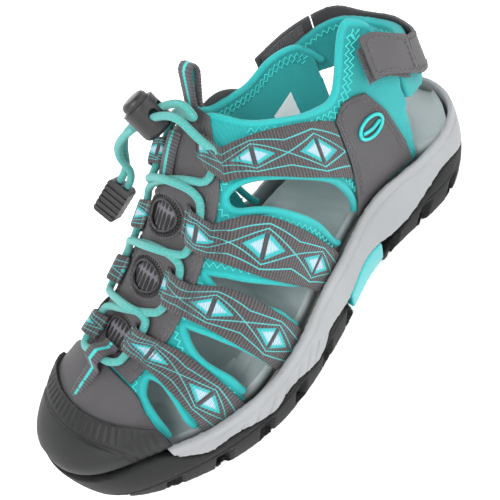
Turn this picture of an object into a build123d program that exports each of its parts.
from build123d import *
import os
from math import cos, sin, pi, sqrt, radians

# A left, women's size 39 strappy sport sandal, in millimetres.
# It is modelled with x running forward from the back of the heel, y towards the lateral (outer)
# side and z up from the floor, and is written out with its origin at the centre of its base.

# ---------------------------------------------------------------- driving sizes
SOLE_LENGTH = 272.0        # outsole, heel to toe
BALL_WIDTH = 105.0         # sole across the ball
INSTEP_HEIGHT = 118.0      # top of the last at the throat, above the floor
RIM_LIFT = 0.0             # extra height of the whole sole rim

LINING = 3.0               # neoprene lining
OVERLAY = 1.4              # coated leather overlays
WEBBING = 1.6              # woven strap
SLING = 5.0                # padded heel sling
LAYER_GAP = 0.5            # thread and adhesive between stitched layers
CORD_D = 3.6               # elastic lace
CORD_GAP = 0.35            # lace to whatever it passes

FEATHER_INSET = 11.5       # last surface, in from the sole's outline
WELL_INSET = 4.0           # wall of the well that takes the upper
FOOTBED_INSET = 12.2       # footbed edge
BOARD_THICK = 2.0          # lasting board
FOOTBED_THICK = 6.0

LOCK_D = 16.0              # barrel of the cord lock
LOCK_ABOVE, LOCK_BELOW = 6.5, 8.5    # barrel, above and below the strands
LOCK_WALL = 1.7
PLUNGER_GAP = 0.1          # plunger to its bore
PLUNGER_TRAVEL = 3.0
CORD_SPACING = 6.2         # between the two strands in the lock
SPRING_WIRE = 0.8
CLIP_LENGTH = 19.0         # cord end
CLIP_WIDTH = 12.5
CLIP_THICK = 3.7           # each half
TAB_LENGTH_ANGLE = 41.0    # how far round the heel the lateral tab reaches

# The last and the outline are drawn for this size, and graded from it.
DRAWN_LENGTH, DRAWN_WIDTH, DRAWN_HEIGHT = 272.0, 105.0, 118.0
GRADE_X = SOLE_LENGTH / DRAWN_LENGTH
GRADE_Y = BALL_WIDTH / DRAWN_WIDTH
BASE_CENTRE = (SOLE_LENGTH / 2, 2.5 * GRADE_Y)      # becomes the origin

# ---------------------------------------------------------------- the last, as curves along x
LATERAL = [(0, 0), (4, 15), (14, 28), (35, 36), (75, 34), (112, 41), (150, 51), (185, 55),
           (212, 50), (238, 39), (258, 26), (268, 12), (272, -8)]
MEDIAL = [(0, 0), (4, -14), (14, -26), (35, -33), (75, -35), (112, -35), (150, -38), (185, -46),
          (212, -50), (238, -46), (258, -35), (268, -24), (272, -8)]
RIM = [(0, 45), (20, 46), (50, 44), (90, 45), (112, 42), (135, 41), (152, 37), (174, 34),
       (194, 34), (215, 35), (232, 38), (250, 41), (272, 41)]
LAST_TOP = [(40, 215), (60, 185), (80, 155), (100, 137), (120, 124), (136, 114), (160, 92),
            (184, 74), (209, 59.5), (230, 52), (245, 45), (258, 37), (272, 30)]
LAST_LEAN = [(40, -2), (90, -5), (136, -13), (160, -11), (184, -8), (209, -6), (258, -5)]
LAST_BULGE = [(40, 4.5), (90, 6), (136, 6), (185, 3), (245, 1.5)]


def smooth(x, table):
    """A smooth curve through (x, value) pairs that never overshoots them."""
    if x <= table[0][0]:
        return table[0][1]
    if x >= table[-1][0]:
        return table[-1][1]
    slopes = [(b[1] - a[1]) / (b[0] - a[0]) for a, b in zip(table, table[1:])]
    i = max(k for k in range(len(slopes)) if table[k][0] <= x)

    def tangent(k):
        if k == 0 or k == len(slopes):
            return slopes[min(k, len(slopes) - 1)]
        left, right = slopes[k - 1], slopes[k]
        return 0.0 if left * right <= 0 else 2 * left * right / (left + right)

    (x0, v0), (x1, v1) = table[i], table[i + 1]
    h = x1 - x0
    u = (x - x0) / h
    return ((2 * u**3 - 3 * u**2 + 1) * v0 + (u**3 - 2 * u**2 + u) * h * tangent(i)
            + (3 * u**2 - 2 * u**3) * v1 + (u**3 - u**2) * h * tangent(i + 1))


def rim_height(x):
    return smooth(x, RIM) + RIM_LIFT


def last_height(x):
    drawn_rim = smooth(x, RIM)
    rise = (INSTEP_HEIGHT - 38.0) / (DRAWN_HEIGHT - 38.0)
    return rim_height(x) + (smooth(x, LAST_TOP) - drawn_rim) * rise


def last_point(x, t):
    """A point of the last: t is -1 at the medial rim, 0 on the ridge and 1 at the lateral rim."""
    up, side = cos(t * pi / 2), sin(t * pi / 2)
    lateral = smooth(x, LATERAL) - FEATHER_INSET
    medial = smooth(x, MEDIAL) + FEATHER_INSET
    centre, half = (lateral + medial) / 2, (lateral - medial) / 2
    bulge = smooth(x, LAST_BULGE) * 4 * up * (1 - up)
    y = centre + smooth(x, LAST_LEAN) * up + (half + bulge) * side
    foot = rim_height(x) - 5.0
    return Vector(x * GRADE_X, y * GRADE_Y, foot + (last_height(x) - foot) * up)


def last_normal(x, t):
    step = 0.01
    along = last_point(x + 1.0, t) - last_point(x - 1.0, t)
    across = last_point(x, min(t + step, 1.0)) - last_point(x, max(t - step, -1.0))
    return along.cross(across).normalized()


def last(x, t, out=0.0):
    """The last's surface, moved out along its normal."""
    return last_point(x, t) + last_normal(x, t) * out


def last_in_plane(x, t, out):
    """The same offset surface, but reached within the plane of constant x."""
    normal = last_normal(x, t)
    share = sqrt(normal.Y**2 + normal.Z**2)
    return last_point(x, t) + Vector(0, normal.Y, normal.Z) * (out / share**2)


# ---------------------------------------------------------------- solid makers
def spread(first, final, count):
    return [first + (final - first) * k / (count - 1) for k in range(count)]


def shell(stations, t_first, t_final, inner, outer, count=9):
    """A curved sheet on the last between two offsets; its edges are (x, t) tables."""
    wires = []
    for x in stations:
        ts = spread(smooth(x, t_first), smooth(x, t_final), count)
        top = Spline([last_in_plane(x, t, outer) for t in ts])
        low = Spline([last_in_plane(x, t, inner) for t in reversed(ts)])
        wires.append(Wire([top, Line(top @ 1, low @ 0), low, Line(low @ 1, top @ 0)]))
    return Solid.make_loft(wires)


def prism(points, depth=30.0, sharp=False, inward=None):
    """A plug through the last's surface whose outline passes through the (x, t) points.
    A third number lowers a point below the surface's edge."""
    places = [last(p[0], p[1]) - Vector(0, 0, p[2] if len(p) > 2 else 0) for p in points]
    middle = sum(places, Vector(0, 0, 0)) * (1 / len(places))
    normal = Vector(0, 0, 0)
    for a, b in zip(places, places[1:] + places[:1]):
        normal += (a - middle).cross(b - middle)
    plane = Plane(origin=middle, z_dir=normal.normalized())
    flat = [plane.to_local_coords(p) for p in places]
    flat = [Vector(p.X, p.Y, 0) for p in flat]
    if sharp:
        outline = Wire(Polyline(flat + flat[:1]).edges())
    else:
        outline = Wire([Spline(flat, periodic=True)])
    face = plane.from_local_coords(Face(outline))
    inward = depth if inward is None else inward
    direction = plane.z_dir * (1 if plane.z_dir.Z > 0 or abs(plane.z_dir.Z) < 0.05 else -1)
    return extrude(face, depth, direction) + extrude(face, inward, -direction)


def strap(edge_a, edge_b, offsets):
    """A flat strap lofted through rectangles. Its edges are lists of (x, t), and offsets says
    how far its underside stands off the last at each."""
    wires = []
    for a, b, out in zip(edge_a, edge_b, offsets):
        normal = last_normal((a[0] + b[0]) / 2, (a[1] + b[1]) / 2)
        low_a, low_b = last_point(*a) + normal * out, last_point(*b) + normal * out
        high_a, high_b = low_a + normal * WEBBING, low_b + normal * WEBBING
        wires.append(Wire(Polyline([low_a, low_b, high_b, high_a, low_a]).edges()))
    return Solid.make_loft(wires, ruled=True)


def outline_points(inset):
    """The sole's outline moved inwards, at a chosen set of stations."""
    ring = [(x, y) for x, y in LATERAL] + [(x, y) for x, y in reversed(MEDIAL[1:-1])]
    ring = [(x * GRADE_X, y * GRADE_Y) for x, y in ring]
    moved = []
    for k, (x, y) in enumerate(ring):
        before, after = ring[k - 1], ring[(k + 1) % len(ring)]
        dx, dy = after[0] - before[0], after[1] - before[1]
        size = sqrt(dx * dx + dy * dy)
        moved.append((x + dy / size * inset, y - dx / size * inset))
    return moved


def sole_block(sections):
    """A block with the sole's outline, lofted through (height, inset) pairs."""
    wires = []
    for height, inset in sections:
        points = [Vector(x, y, height) for x, y in outline_points(inset)]
        wires.append(Wire([Spline(points, periodic=True)]))
    return Solid.make_loft(wires)


def slab(top, bottom):
    """A block as wide as the sole between two curves in side view."""
    top = [Vector(x * GRADE_X, 0, z) for x, z in top]
    bottom = [Vector(x * GRADE_X, 0, z) for x, z in reversed(bottom)]
    upper = Spline(top) if len(top) > 2 else Line(*top)
    lower = Spline(bottom) if len(bottom) > 2 else Line(*bottom)
    ring = Wire([upper, Line(upper @ 1, lower @ 0), lower, Line(lower @ 1, upper @ 0)])
    return extrude(Face(ring), BALL_WIDTH, Vector(0, 1, 0), both=True)


def lifted(table, lift):
    return [(x, z + lift) for x, z in table]


# ---------------------------------------------------------------- the sole
RIM_CREST = ([(-8, 46 + RIM_LIFT)] + [(x, z + RIM_LIFT) for x, z in RIM[1:] if x < 240]
             + [(240, 39.5 + RIM_LIFT)])
GROUND = [(-8, 16), (2, 9.5), (14, 3.5), (28, -0.4), (50, -1), (78, -0.6), (92, 3.0)]
FORE_GROUND = [(118, 3.0), (130, 0.2), (150, -1), (175, -1), (205, -0.7), (225, 1.6), (245, 6.5),
               (262, 13.5), (280, 22)]
HEEL_PARTING = [(-8, 22), (8, 22), (20, 24), (38, 29), (50, 25), (64, 17), (78, 11), (92, 8)]
FORE_PARTING = [(118, 8), (126, 16), (134, 21), (142, 21), (149, 15), (156, 14), (166, 19), (175, 21),
                (185, 17.5), (197, 21), (210, 24), (218, 23), (226, 28), (233, 37)]
MID_UNDERSIDE = ([(x, z) for x, z in HEEL_PARTING if x < 70] + [(74, 15), (92, 22), (108, 24), (120, 20)]
                 + [(x, z) for x, z in FORE_PARTING if 130 < x < 230] + [(240, 33)])
SHANK_UNDERSIDE = [(64, 2), (88, 6), (104, 9), (121, 7.0), (134, 6)]
TOE_CREST = [(222, 25), (228, 31.5), (234, 36.0), (244, 37.5), (280, 37.5)]
HEEL_FRONT, FORE_REAR, TOE_WALL, MID_FRONT = 88.0, 121.0, 230.0, 231.0
WELL_FLOOR = [(-8, 32), (50, 31), (90, 31), (130, 28), (165, 21), (200, 18.5), (235, 21), (280, 28)]
PART_GAP = 0.4            # glue line between sole pieces


def outline_plug(inset, low, high):
    """A straight-walled plug with the sole's outline."""
    points = [Vector(x, y, low) for x, y in outline_points(inset)]
    return extrude(Face(Wire([Spline(points, periodic=True)])), high - low, Vector(0, 0, 1))


def behind(x):
    return Pos(x * GRADE_X - 200, 0, 0) * Box(400, 300, 400)


def ahead_of(x):
    return Pos(x * GRADE_X + 200, 0, 0) * Box(400, 300, 400)


def sole_pieces():
    body = sole_block([(-2, 7.5), (24, 0.6), (54, 3.2)])
    cavity = outline_plug(WELL_INSET, 8, 60) & slab([(-9, 90), (290, 90)], WELL_FLOOR)
    hollow = body - cavity
    bed = outline_plug(FOOTBED_INSET, 8, 60)
    below_floor = Pos(0, 0, -50) * Box(800, 400, 100)

    heel = body & slab(lifted(HEEL_PARTING, -PART_GAP), GROUND)
    heel = heel - ahead_of(HEEL_FRONT) - below_floor

    fore = hollow & slab(lifted(FORE_PARTING, -PART_GAP), FORE_GROUND[:-2])
    fore = fore - ahead_of(TOE_WALL) - behind(FORE_REAR)
    toe = (hollow & slab(lifted(TOE_CREST, -PART_GAP), FORE_GROUND[4:])) - behind(TOE_WALL)
    fore = fore + toe - below_floor

    mid = hollow & slab(RIM_CREST, MID_UNDERSIDE)
    mid -= ahead_of(MID_FRONT)

    shank_top = [p for p in MID_UNDERSIDE if 60 < p[0] < 140]
    shank = body & slab(lifted(shank_top, -PART_GAP), SHANK_UNDERSIDE)
    shank = shank - behind(HEEL_FRONT + PART_GAP) - ahead_of(FORE_REAR - PART_GAP)

    board = bed & slab(lifted(WELL_FLOOR, PART_GAP + BOARD_THICK), lifted(WELL_FLOOR, PART_GAP))
    low = 2 * PART_GAP + BOARD_THICK
    insole = bed & slab(lifted(WELL_FLOOR, low + FOOTBED_THICK), lifted(WELL_FLOOR, low))
    return {"outsole_heel": heel, "outsole_forefoot": fore, "midsole": mid, "arch_shank": shank,
            "lasting_board": board, "footbed": insole}


# ---------------------------------------------------------------- the upper, in (x, t) on the last
PANEL_FRONT = 223.0
CAP_EDGE_X, CAP_EDGE_Y, CAP_EDGE_R = 246.0, -6.0, 62.0     # rear edge of the toe cap, in plan
CAP_CROWN = {228: 63.5, 244: 55.5, 252: 52.5, 260: 49, 266: 45, 270: 41}
OVER_LINING = LINING + LAYER_GAP
OVER_PANEL = OVER_LINING + OVERLAY + LAYER_GAP
CORD_OUT = OVER_PANEL + CORD_GAP + CORD_D / 2          # lace centre above the last
ARCH_OUT = CORD_OUT + CORD_D / 2 + CORD_GAP            # underside of a loop over the lace

# Collar edge of each lining, from the heel forward: x and how far up the last it reaches.
LATERAL_COLLAR = [(46, 0.72), (54, 0.63), (62, 0.59), (77, 0.64), (88, 0.60), (100, 0.51),
                  (115, 0.34), (123, 0.12), (129, 0.035), (250, 0.035)]
MEDIAL_COLLAR = [(42, -0.84), (48, -0.79), (54, -0.75), (62, -0.715), (74, -0.665), (86, -0.63), (94, -0.59),
                 (102, -0.54), (112, -0.45), (119, -0.29), (124, -0.12), (129, -0.035), (250, -0.035)]
LINING_STATIONS = [46, 54, 62, 72, 82, 92, 102, 112, 119, 124, 129, 136, 148, 160, 175, 190, 205, 220, 236]

# Window openings, each from its apex by the instep down one side and up the other.
# The third number takes the corner below the upper's edge, inside the sole.
WINDOWS = [
    [(215, 0.37), (222, 0.45), (225, 0.62), (226, 0.80), (226, 1.0, 8), (216, 1.0, 8), (215.5, 0.80),
     (213, 0.60), (212, 0.46)],
    [(189, 0.37), (194, 0.47), (195, 0.60), (192, 0.78), (189, 1.0, 8), (174, 1.0, 8), (177, 0.78),
     (182, 0.60), (186, 0.46)],
    [(168, 0.37), (170, 0.47), (166, 0.62), (158, 0.80), (152, 1.0, 8), (135, 1.0, 8), (145, 0.80),
     (157, 0.60), (164, 0.45)],
    [(142, 0.38), (142, 0.46), (130, 0.62), (118, 0.80), (110, 1.0, 8), (92, 1.0, 8), (97, 0.80),
     (117, 0.585), (133, 0.43)],
]
# Each strap's two edges at the lace loop, half way and at the sole rim: x, t, then x, t.
STRAPS = [
    [(199.5, 0.20, 211.5, 0.20), (196.0, 0.52, 212.0, 0.50), (193.5, 0.985, 214.0, 0.985)],
    [(174.0, 0.26, 186.0, 0.27), (164.0, 0.56, 182.0, 0.57), (153.0, 0.985, 174.0, 0.985)],
    [(151.0, 0.28, 162.5, 0.29), (134.0, 0.60, 154.0, 0.62), (114.0, 0.985, 135.5, 0.985)],
    [(129.0, 0.21, 137.5, 0.29), (108.0, 0.46, 116.0, 0.60), (85.5, 0.66, 89.5, 0.85)],
]
VENTS = [(209, 0.0), (183, -0.01), (160, -0.02)]
VENT_LONG, VENT_WIDE = 7.0, 9.6        # half sizes along the foot and across it
MEDIAL_PATCH = [(50.5, 0.985), (93, 0.985), (90, 0.93), (86.5, 0.82), (84.5, 0.67), (77, 0.665),
                (71, 0.70), (68, 0.77), (62, 0.87), (52, 0.94)]
PATCH = [(50.5, 0.985), (93, 0.985), (90, 0.93), (86.5, 0.82), (84.5, 0.67), (77, 0.665),
         (70, 0.70), (65, 0.73), (58, 0.82), (52, 0.93)]


def mirrored(points):
    return [(p[0], -p[1]) + tuple(p[2:]) for p in points]


def both_signs(side, points):
    return points if side > 0 else mirrored(points)


def lining(side):
    collar = LATERAL_COLLAR if side > 0 else MEDIAL_COLLAR
    edge = [(0, side), (280, side)]
    sheet = shell(LINING_STATIONS, collar, edge, 0.0, LINING)
    for window in WINDOWS:
        sheet -= prism(both_signs(side, window))
    return sheet


def overlay(first, final, t_low, t_high):
    stations = spread(first, final, 10)
    return shell(stations, t_low, t_high, OVER_LINING, OVER_LINING + OVERLAY)


def instep_panel():
    low = [(124, -0.20), (130, -0.30), (145, -0.36), (223, -0.36)]
    high = [(124, 0.14), (130, 0.24), (145, 0.345), (223, 0.345)]
    panel = overlay(124.5, PANEL_FRONT, low, high)
    for x, t in VENTS:
        panel -= vent_plug(x, t, 1.0)
    return panel


def vent_plug(x, t, scale):
    """An oval plug square to the last at a vent."""
    plane = vent_plane(x, t)
    oval = plane * Ellipse(VENT_LONG * scale, VENT_WIDE * scale)
    return extrude(oval, 8, both=True)


def vent_plane(x, t):
    normal = last_normal(x, t)
    along = last_point(x + 1, t) - last_point(x - 1, t)
    return Plane(origin=last(x, t, OVER_LINING), x_dir=along, z_dir=normal)


def vent_mesh(x, t):
    """The mesh behind a vent: a thin dished oval, clear of the panel around it."""
    sheet = shell(spread(x - 12, x + 12, 6), [(x, t - 0.22)], [(x, t + 0.22)],
                  OVER_LINING + 0.1, OVER_LINING + 0.8)
    return sheet & vent_plug(x, t, 0.975)


def vamp():
    low = [(223, -0.62), (226, -0.86), (240, -0.86)]
    high = [(223, 0.44), (225, 0.62), (227, 0.86), (240, 0.84)]
    return shell([PANEL_FRONT + LAYER_GAP, 225, 228, 231, 234, 237, 240], low, high,
                 OVER_LINING, OVER_LINING + OVERLAY)


def toe_cap():
    """The rubber bumper: a domed shell over the toes, standing on the toe wall of the outsole."""
    def dome(out, drop, first, stretch):
        wires = []
        for x in (first, 244, 252, 260, 266, 270):
            lateral = smooth(x, LATERAL) - 3.0 + out
            medial = smooth(x, MEDIAL) + 3.0 - out
            crown = CAP_CROWN[max(x, 228)] + out
            foot = TOE_CREST[-1][1] + 0.1 - drop
            half, middle = (lateral - medial) / 2, (lateral + medial) / 2
            arch = [Vector((x + stretch) * GRADE_X, (middle + half * sin(a)) * GRADE_Y,
                           foot + (crown - foot) * cos(a) ** 0.8)
                    for a in spread(-pi / 2, pi / 2, 11)]
            curve = Spline(arch)
            wires.append(Wire([curve, Line(curve @ 1, curve @ 0)]))
        return Solid.make_loft(wires)

    cap = dome(0, 0, 228, 0) - dome(-3.2, 2, 224, -3.0)
    rear = Pos(CAP_EDGE_X * GRADE_X - CAP_EDGE_R, CAP_EDGE_Y, 0) * Cylinder(CAP_EDGE_R, 200)
    return cap - rear


def quarter_patch(side):
    sheet = shell(spread(48, 96, 8), [(48, side * 0.60), (96, side * 0.60)],
                  [(0, side), (280, side)], OVER_LINING, OVER_LINING + OVERLAY)
    return sheet & prism(PATCH if side > 0 else mirrored(MEDIAL_PATCH), sharp=True)


def emblem():
    """A plain raised leaf shape on the lateral patch."""
    plane = Plane(origin=last(69, 0.80, OVER_LINING + OVERLAY + 0.3), x_dir=(1, 0, 0),
                  z_dir=last_normal(69, 0.80))
    return extrude(plane * Ellipse(7.0, 5.0), 0.8)


def webbing_strap(side, rows, shift=0.0, loop_t=None):
    """A strap from the sole rim, over the panel's edge, arching over the lace as its loop."""
    rim_row, middle_row, loop_row = rows[2], rows[1], list(rows[0])
    if side < 0:
        loop_row = [loop_row[0] + shift, loop_t, loop_row[2] + shift, loop_t]
    start = [loop_row[0], loop_row[1] + LOOP_HALF, loop_row[2], loop_row[3] + LOOP_HALF]
    edge_a, edge_b, offsets = [], [], []
    for k in range(STRAP_STEPS + 1):
        q = k / STRAP_STEPS
        cell = [smooth(q, [(0, rim_row[n]), (0.5, middle_row[n]), (1, start[n])]) for n in range(4)]
        edge_a.append((cell[0], side * cell[1]))
        edge_b.append((cell[2], side * cell[3]))
        offsets.append(smooth(q, [(0, OVER_LINING), (0.6, OVER_LINING), (0.85, OVER_PANEL), (1, OVER_PANEL)]))
    for step, rise in LOOP_ARCH:
        edge_a.append((start[0], side * (start[1] - step)))
        edge_b.append((start[2], side * (start[3] - step)))
        offsets.append(OVER_PANEL + rise * (ARCH_OUT - OVER_PANEL))
    return strap(edge_a, edge_b, offsets)


STRAP_STEPS = 7
LOOP_HALF = 0.075          # from a loop's foot to its middle, in t
LOOP_ARCH = [(0.025, 0.55), (0.055, 1.0), (0.095, 1.0), (0.125, 0.55), (0.15, 0.0), (0.17, 0.0)]
MEDIAL_LOOPS = [(6.5, 0.24), (6.0, 0.38), (5.0, 0.36), (6.0, 0.30)]     # forward shift, t


def toe_loop():
    """The webbing tag on the toe that holds the middle of the lace."""
    centre, half = 0.035, 0.075
    stations = [(243.5, 0.0), (238, 0.0), (231, 0.0), (227, 0.05), (225, 0.55), (223, 1.0), (219.5, 1.0),
                (217.5, 0.55), (215.5, 0.0), (213.5, 0.0)]
    edge_a = [(x, centre - half) for x, rise in stations]
    edge_b = [(x, centre + half) for x, rise in stations]
    offsets = [OVER_PANEL + 0.1 + rise * (ARCH_OUT + 1.0 - OVER_PANEL) for x, rise in stations]
    return strap(edge_a, edge_b, offsets)


def tongue_webbing():
    """The flat webbing down the throat, under the cord lock."""
    return shell([133, 137, 141, 145, 149], [(120, -0.155), (150, -0.17)], [(120, 0.02), (150, 0.03)],
                 OVER_PANEL, OVER_PANEL + 0.9, count=5)


def pull_loop():
    """A folded webbing loop standing up behind the cord lock."""
    foot = last(122.5, -0.01, LINING + LAYER_GAP)
    plane = Plane(origin=foot, x_dir=Vector(0.933, 0, 0.36), z_dir=Vector(0, -1, 0))
    rings = []
    for foot_half, top_half, crown in ((2.1, 3.0, PULL_LOOP_HEIGHT), (0.5, 1.4, PULL_LOOP_HEIGHT - WEBBING)):
        shoulder = PULL_LOOP_HEIGHT - 3.0
        left = Line((-foot_half, 0.4), (-top_half, shoulder))
        bow = ThreePointArc((-top_half, shoulder), (0, crown), (top_half, shoulder))
        right = Line((top_half, shoulder), (foot_half, 0.4))
        rings.append([left, bow, right])
    outside, inside = rings
    ring = Wire([*outside, Line(outside[2] @ 1, inside[2] @ 1), *inside, Line(inside[0] @ 0, outside[0] @ 0)])
    return extrude(plane * Face(ring), PULL_LOOP_WIDTH / 2, both=True)


PULL_LOOP_HEIGHT, PULL_LOOP_WIDTH = 19.5, 9.0


def size_label():
    return shell(spread(66, 80, 5), [(60, -0.90), (82, -0.90)], [(60, -0.81), (82, -0.80)], -0.7, -0.2)


# ---------------------------------------------------------------- the heel: sling, strap and tabs
HEEL_X, HEEL_DEEP, HEEL_HALF = 58.0, 36.0, 25.0     # plan ellipse of the inside of the sling
HEEL_RUN = 0.6             # mm forward per degree past the ends of the ellipse
HEEL_LEAN = 0.10           # how the sling leans in with height
STRAP_TOP = [(-14, 124), (0, 123), (15, 116), (30, 107), (45, 100), (60, 97), (90, 95.5), (110, 97),
             (125, 101), (140, 103), (160, 103.5), (205, 103)]
STRAP_WIDE = 22.0
SLING_TOP = [(20, 112.5), (30, 105.5), (45, 98.5), (60, 95.5), (90, 94), (110, 95.5), (128, 98.5),
             (145, 98.5), (165, 97), (190, 94)]
SLING_LOW = [(20, 76), (30, 73.5), (45, 70), (60, 67.5), (90, 66), (110, 66.5), (128, 68), (145, 71),
             (165, 75), (190, 79)]
SLING_IN = [(20, 0.0), (112, 0.0), (138, 5.0), (200, 5.4)]
SLING_OUT = [(20, 4.6), (60, SLING), (112, SLING), (138, 8.4), (200, 8.6)]
PILE = 1.0                 # soft side of the hook-and-loop
HOOK = 1.0
BODY_GAP = 0.35            # between pieces that part at the tabs
TAB_IN = 5.6 + PILE + BODY_GAP + HOOK + 0.15
MEDIAL_TAB_IN = 8.8 + PILE + BODY_GAP + HOOK + 0.15
LATERAL_HINGE, MEDIAL_HINGE = 34.0, 150.0            # degrees round the heel
HINGE_GAP = 1.0            # degrees left open at a hinge


def heel_point(angle, out, z):
    """A point round the heel: 0 is the lateral side, 90 the back and 180 the medial side."""
    out -= (z - 100.0) * HEEL_LEAN
    if angle < 0:
        x, y, nx, ny = HEEL_X - angle * HEEL_RUN, HEEL_HALF, 0.0, 1.0
    elif angle > 180:
        x, y, nx, ny = HEEL_X + (angle - 180) * HEEL_RUN, -HEEL_HALF, 0.0, -1.0
    else:
        a = radians(angle)
        x, y = HEEL_X - HEEL_DEEP * sin(a), HEEL_HALF * cos(a)
        nx, ny = -sin(a) / HEEL_DEEP, cos(a) / HEEL_HALF
        size = sqrt(nx * nx + ny * ny)
        nx, ny = nx / size, ny / size
    return Vector(x * GRADE_X + nx * out, y * GRADE_Y + ny * out, z + RIM_LIFT)


def heel_band(angles, low, high, inner, outer):
    """A band round the heel between two heights and two offsets, given as tables or numbers."""
    def read(table, angle):
        return table if isinstance(table, (int, float)) else smooth(angle, table)
    wires = []
    for angle in angles:
        z0, z1 = read(low, angle), read(high, angle)
        n0, n1 = read(inner, angle), read(outer, angle)
        ring = [heel_point(angle, n0, z0), heel_point(angle, n1, z0), heel_point(angle, n1, z1),
                heel_point(angle, n0, z1)]
        wires.append(Wire(Polyline(ring + ring[:1]).edges()))
    return Solid.make_loft(wires)


def moved_table(table, lift):
    return [(a, v + lift) for a, v in table]


def heel_pieces():
    strap_low = moved_table(STRAP_TOP, -STRAP_WIDE)
    sling = heel_band([21, 30, 45, 60, 75, 90, 105, 120, 135, 150, 165, 180, 188],
                      SLING_LOW, SLING_TOP, SLING_IN, SLING_OUT)
    strap_in = [(LATERAL_HINGE, TAB_IN), (50, TAB_IN), (72, 5.5), (112, 5.7), (135, MEDIAL_TAB_IN),
                (MEDIAL_HINGE, MEDIAL_TAB_IN)]
    band = heel_band([LATERAL_HINGE + HINGE_GAP / 2, 45, 60, 75, 90, 105, 120, 135, MEDIAL_HINGE - HINGE_GAP / 2],
                     strap_low, STRAP_TOP, strap_in, moved_table(strap_in, WEBBING))
    front = LATERAL_HINGE - TAB_LENGTH_ANGLE
    tab_l = heel_band([LATERAL_HINGE - HINGE_GAP / 2, 22, 10, 0, front], strap_low, STRAP_TOP,
                      TAB_IN, TAB_IN + WEBBING)
    hook_l = heel_band([26, 15, 5, front + 3], moved_table(STRAP_TOP, 1.5 - STRAP_WIDE), moved_table(STRAP_TOP, -1.5),
                       TAB_IN - HOOK - 0.1, TAB_IN - 0.1)
    pile_l = heel_band([28, 15, 5, front - 2], moved_table(STRAP_TOP, -2 - STRAP_WIDE), moved_table(STRAP_TOP, -6),
                       TAB_IN - HOOK - 0.1 - BODY_GAP - PILE, TAB_IN - HOOK - 0.1 - BODY_GAP)
    tab_m = heel_band([MEDIAL_HINGE + HINGE_GAP / 2, 162, 175, 188, 203], strap_low, STRAP_TOP,
                      MEDIAL_TAB_IN, MEDIAL_TAB_IN + WEBBING)
    hook_m = heel_band([158, 168, 180, 198], moved_table(STRAP_TOP, 1.5 - STRAP_WIDE), moved_table(STRAP_TOP, -1.5),
                       MEDIAL_TAB_IN - HOOK - 0.1, MEDIAL_TAB_IN - 0.1)
    pile_m = heel_band([155, 168, 180, 187], moved_table(STRAP_TOP, 0.5 - STRAP_WIDE), moved_table(STRAP_TOP, -8),
                       MEDIAL_TAB_IN - HOOK - 0.1 - BODY_GAP - PILE, MEDIAL_TAB_IN - HOOK - 0.1 - BODY_GAP)
    return {"heel_sling": sling, "heel_strap": band, "lateral_tab": tab_l, "lateral_hook": hook_l,
            "lateral_pile": pile_l, "medial_tab": tab_m, "medial_hook": hook_m, "medial_pile": pile_m}


# ---------------------------------------------------------------- the lace and its lock
LOCK_PLACE = Vector(141.0, -17.0, 131.0)
LACE_WAY = Vector(0.42, -0.80, -0.43).normalized()     # the strands' way through the lock
REAR_ENTRY, FRONT_ENTRY = -17.0, -16.0     # last corner of each strand before the lock
LOCK_STRAIGHT = 22.0       # straight lace past the lock's middle, which it slides along
LOCK_SLIDE = 12.0
CLIP_PLACE = Vector(160.0, -44.0, 94.5)
CLIP_WAY = Vector(0.73, -0.37, -0.57).normalized()

# The lace from the toe loop to the lock: x, t and the extra height over the panel.
LATERAL_STRAND = [(221, 0.11, 0.9), (218, 0.185, 0.3), (214.5, 0.20, 0.0), (196.8, 0.205, 0.0),
                  (194.0, 0.15, 1.4), (194.3, 0.08, 5.0), (194.8, -0.06, 5.0), (196.0, -0.25, 1.4),
                  (195.5, -0.35, 0.2), (192.0, -0.385, 0.0), (177.5, -0.375, 0.0), (174.0, -0.32, 0.9),
                  (172.0, -0.14, 5.0), (170.5, 0.04, 5.0), (168.2, 0.21, 1.2), (165.0, 0.275, 0.0),
                  (148.8, 0.295, 0.0), (145.6, 0.23, 1.0), (146.3, 0.08, 5.0), (148.0, -0.08, 5.0),
                  (149.5, -0.24, 0.9), (146.2, -0.295, 0.0)]
MEDIAL_STRAND = [(221, -0.03, 0.9), (223, -0.16, 0.6), (220.0, -0.235, 0.0), (204.5, -0.245, 0.0),
                 (201.0, -0.18, 1.0), (197.5, 0.0, 1.3), (193.0, 0.16, 1.0), (189.0, 0.255, 0.0),
                 (171.5, 0.275, 0.0), (168.8, 0.20, 1.0), (170.4, 0.0, 1.3), (173.0, -0.24, 1.0),
                 (171.5, -0.35, 0.0), (154.8, -0.365, 0.0), (151.8, -0.30, 0.9), (149.0, -0.08, 1.3),
                 (144.2, 0.16, 1.1), (141.0, 0.30, 0.0)]


def lock_plane():
    """x along the lace, z up the plunger, y across the two strands."""
    up = Vector(-0.1, 0.0, 1.0)
    up = up - LACE_WAY * up.dot(LACE_WAY)
    return Plane(origin=LOCK_PLACE, x_dir=LACE_WAY, z_dir=up.normalized())


def tube(points, radii):
    path = FilletPolyline(*points, radius=radii)
    start = Plane(origin=path @ 0, z_dir=path % 0)
    return sweep(start * Circle(CORD_D / 2), path=path)


def corner_radii(points, share=0.45, largest=30.0):
    """The largest arc that each corner of a route has room for."""
    radii = []
    for a, b, c in zip(points, points[1:], points[2:]):
        turn = radians((b - a).get_angle(c - b))
        run = min((b - a).length, (c - b).length)
        radii.append(min(share * run * cos(turn / 2) / max(sin(turn / 2), 1e-6), largest))
    return radii


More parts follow.
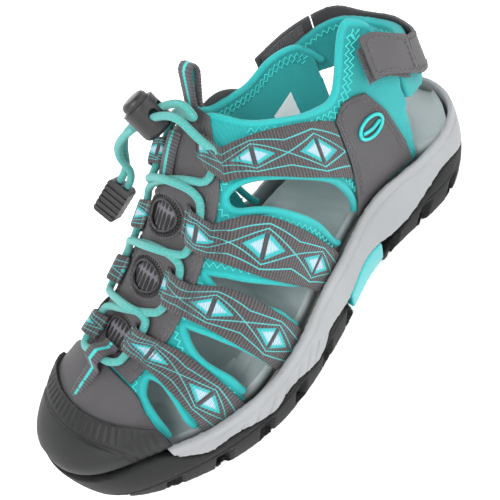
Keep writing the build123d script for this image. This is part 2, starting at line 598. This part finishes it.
def lace_route():
    """The held lace, from where it leaves the lock by way of the toe loop back to the lock."""
    plane = lock_plane()
    half = CORD_SPACING / 2
    front = LOCK_D / 2
    rear_strand = [plane.from_local_coords(Vector(x, -half, 0)) for x in (REAR_ENTRY, front)]
    front_strand = [plane.from_local_coords(Vector(x, half, 0)) for x in (FRONT_ENTRY, front)]
    lateral = [last(x, t, CORD_OUT + up) for x, t, up in LATERAL_STRAND]
    medial = [last(x, t, CORD_OUT + up) for x, t, up in MEDIAL_STRAND]
    lateral += [last(129.6, -0.315, CORD_OUT), last(126.0, -0.235, CORD_OUT + 0.3),
                last(126.2, -0.03, CORD_OUT + 0.3), last(125.8, 0.15, CORD_OUT + 5.0)]
    medial += [last(131.0, 0.275, CORD_OUT + 0.5), last(131.5, 0.21, CORD_OUT + 5.5)]
    return list(reversed(lateral + rear_strand)) + medial + front_strand


def tail_route(side):
    """A free end of the lace, from the lock to the cord end."""
    plane = lock_plane()
    clip = clip_plane()
    half = side * CORD_SPACING / 2
    start = [plane.from_local_coords(Vector(x, half, 0)) for x in (LOCK_D / 2, LOCK_STRAIGHT)]
    spread_clip = side * CLIP_SPREAD
    finish = [clip.from_local_coords(Vector(x, spread_clip, 0)) for x in (-8.0, 0.0)]
    between = Vector(153.5, -41.0, 110.5) + plane.y_dir * side * 3.0
    return start + [between] + finish


CLIP_SPREAD = 2.3


def clip_plane():
    up = Vector(0.25, 0.62, 0.75)
    up = up - CLIP_WAY * up.dot(CLIP_WAY)
    return Plane(origin=CLIP_PLACE, x_dir=CLIP_WAY, z_dir=up.normalized())


def lock_pieces():
    plane = lock_plane()
    bore = LOCK_D / 2 - LOCK_WALL
    barrel = Pos(0, 0, (LOCK_ABOVE - LOCK_BELOW) / 2) * Cylinder(LOCK_D / 2, LOCK_ABOVE + LOCK_BELOW)
    barrel = fillet(barrel.edges().filter_by(GeomType.CIRCLE).sort_by(Axis.Z)[0], 3.0)
    floor = -LOCK_BELOW + 1.6
    barrel -= Pos(0, 0, (LOCK_ABOVE + 1 + floor) / 2) * Cylinder(bore, LOCK_ABOVE + 1 - floor)
    hole = CORD_D / 2 + CORD_GAP
    for side in (-1, 1):
        barrel -= Pos(0, side * CORD_SPACING / 2, 0) * Rot(0, 90, 0) * Cylinder(hole, LOCK_D + 4)
    low, high = -3.2, LOCK_ABOVE + PLUNGER_TRAVEL + 0.8
    plunger = Pos(0, 0, (low + high) / 2) * Cylinder(bore - PLUNGER_GAP, high - low)
    plunger = fillet(plunger.edges().filter_by(GeomType.CIRCLE).sort_by(Axis.Z)[-1], 2.4)
    slot_low, slot_high = -hole, hole + PLUNGER_TRAVEL
    plunger -= (Pos(0, 0, (slot_low + slot_high) / 2)
                * Box(LOCK_D + 4, CORD_SPACING + 2 * hole, slot_high - slot_low))
    turns = (low - floor - SPRING_WIRE) / 3
    helix = Pos(0, 0, floor + SPRING_WIRE / 2) * Helix(pitch=turns, height=3 * turns * 0.97, radius=bore - 1.6)
    wire = Plane(origin=helix @ 0, z_dir=helix % 0) * Circle(SPRING_WIRE / 2 * 0.9)
    spring = sweep(wire, path=helix)
    return {"cord_lock_barrel": plane * barrel, "cord_lock_plunger": plane * plunger,
            "cord_lock_spring": plane * spring}


def clip_pieces():
    """The two halves of the moulded cord end, ribbed across the outside."""
    plane = clip_plane()
    halves = {}
    for name, side in (("cord_end_front", 1), ("cord_end_back", -1)):
        block = Pos(CLIP_LENGTH / 2, 0, side * (CLIP_THICK / 2 + 0.05)) * Box(CLIP_LENGTH, CLIP_WIDTH, CLIP_THICK)
        block = fillet(block.edges().filter_by(Axis.Z), 2.2)
        for k in range(5):
            rib = Pos(3.5 + 3.1 * k, 0, side * (CLIP_THICK + 0.05)) * Box(1.2, CLIP_WIDTH + 2, 1.4)
            block -= rib
        halves[name] = plane * block
    return halves


def write(pieces):
    """Each piece to its own file, moved so that the origin is at the centre of the base."""
    os.makedirs("parts", exist_ok=True)
    home = Pos(-BASE_CENTRE[0], -BASE_CENTRE[1], 0)
    for name, piece in pieces.items():
        export_step(home * piece, f"parts/{name}.step")


def sandal():
    pieces = sole_pieces()
    pieces["toe_cap"] = toe_cap()
    pieces["vamp_overlay"] = vamp()
    pieces["instep_panel"] = instep_panel()
    for name, (x, t) in zip(("front", "middle", "rear"), VENTS):
        pieces[f"vent_mesh_{name}"] = vent_mesh(x, t)
    for word, side in (("lateral", 1), ("medial", -1)):
        pieces[f"{word}_lining"] = lining(side)
        pieces[f"{word}_quarter_patch"] = quarter_patch(side)
        for k, rows in enumerate(STRAPS):
            shift, loop_t = MEDIAL_LOOPS[k]
            pieces[f"{word}_strap_{k + 1}"] = webbing_strap(side, rows, shift, loop_t)
    pieces["quarter_emblem"] = emblem()
    pieces["toe_loop"] = toe_loop()
    pieces["tongue_webbing"] = tongue_webbing()
    pieces["pull_loop"] = pull_loop()
    pieces["size_label"] = size_label()
    pieces.update(heel_pieces())
    route = lace_route()
    pieces["lace_cord"] = tube(route, corner_radii(route))
    for word, side in (("inner", -1), ("outer", 1)):
        route = tail_route(side)
        radii = corner_radii(route)
        print("lace tail", word, "radii", [round(r, 1) for r in radii])
        pieces[f"lace_tail_{word}"] = tube(route, radii)
    pieces.update(lock_pieces())
    pieces.update(clip_pieces())
    return pieces


if __name__ == "__main__":
    write(sandal())
